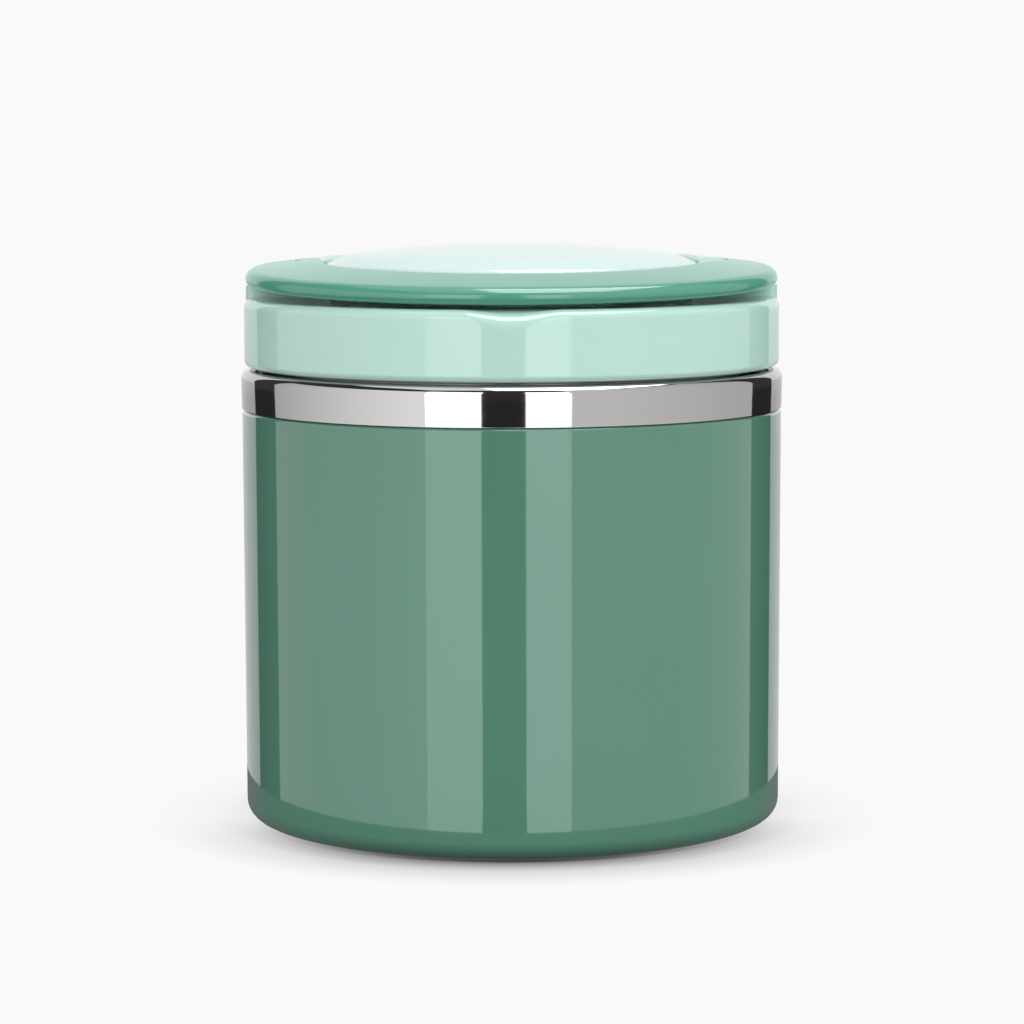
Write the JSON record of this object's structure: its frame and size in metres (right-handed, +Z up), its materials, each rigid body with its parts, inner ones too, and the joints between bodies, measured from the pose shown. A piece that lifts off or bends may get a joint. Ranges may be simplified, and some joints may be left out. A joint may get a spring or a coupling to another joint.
{
  "type": "insulated food jar",
  "caption": "Insulated food jar: painted double-walled steel jar with a polished collar, a screw lid with a domed cover, and a flat horseshoe carry handle that folds up from the lid.",
  "frame": {"origin": "centre of the base, on the surface that the jar stands on", "axes": "+Z up along the jar's axis; -Y is the front, where the finger notch is and the handle is lifted; the handle's hinges are left and right on X"},
  "size_m": [0.1102, 0.1102, 0.1176],
  "materials": {
    "green_paint": "gloss powder coat on steel",
    "polished_steel": "mirror-polished stainless steel",
    "satin_steel": "satin stainless steel, drawn and electropolished",
    "base_steel": "spun stainless steel, fine turning lines",
    "foil": "bright foil",
    "seal_glass": "sealing glass",
    "silicone": "translucent white silicone",
    "mint_plastic": "gloss moulded, mint",
    "pale_mint_plastic": "gloss moulded, pale mint",
    "green_plastic": "satin-gloss moulded, green",
    "white_plastic": "gloss moulded, white",
    "foam": "closed-cell foam",
    "nylon": "natural nylon",
    "screw_steel": "plain steel"
  },
  "bodies": {
    "jar": {"outer_shell": "green_paint", "steel_collar": "polished_steel", "inner_vessel": "satin_steel", "heat_shield_foil": "foil", "vacuum_base": "satin_steel", "seal_bead": "seal_glass", "getter_capsule": "satin_steel", "getter_clip": "satin_steel", "base_cover": "base_steel"},
    "seal": {"lid_gasket": "silicone"},
    "lid": {"lid_shell": "mint_plastic", "lid_liner": "white_plastic", "lid_foam": "foam", "lid_screws": "screw_steel", "lid_disc": "pale_mint_plastic", "pivot_pin_left": "screw_steel", "pivot_pin_right": "screw_steel", "friction_washer_left": "nylon", "friction_washer_right": "nylon"},
    "handle": {"handle": "green_plastic"}
  },
  "joints": [
    {"name": "lid_lift", "type": "slide", "parent": "jar", "child": "seal", "axis": [0, 0, 1], "range_m": [0, 0.06]},
    {"name": "lid_unscrew", "type": "hinge", "parent": "seal", "child": "lid", "pos_m": [0, 0, 0.1], "axis": [0, 0, 1], "range_deg": [0, 270]},
    {"name": "handle_fold", "type": "hinge", "parent": "lid", "child": "handle", "pos_m": [0, 0.012, 0.1114], "axis": [-1, 0, 0], "range_deg": [0, 90]}
  ]
}
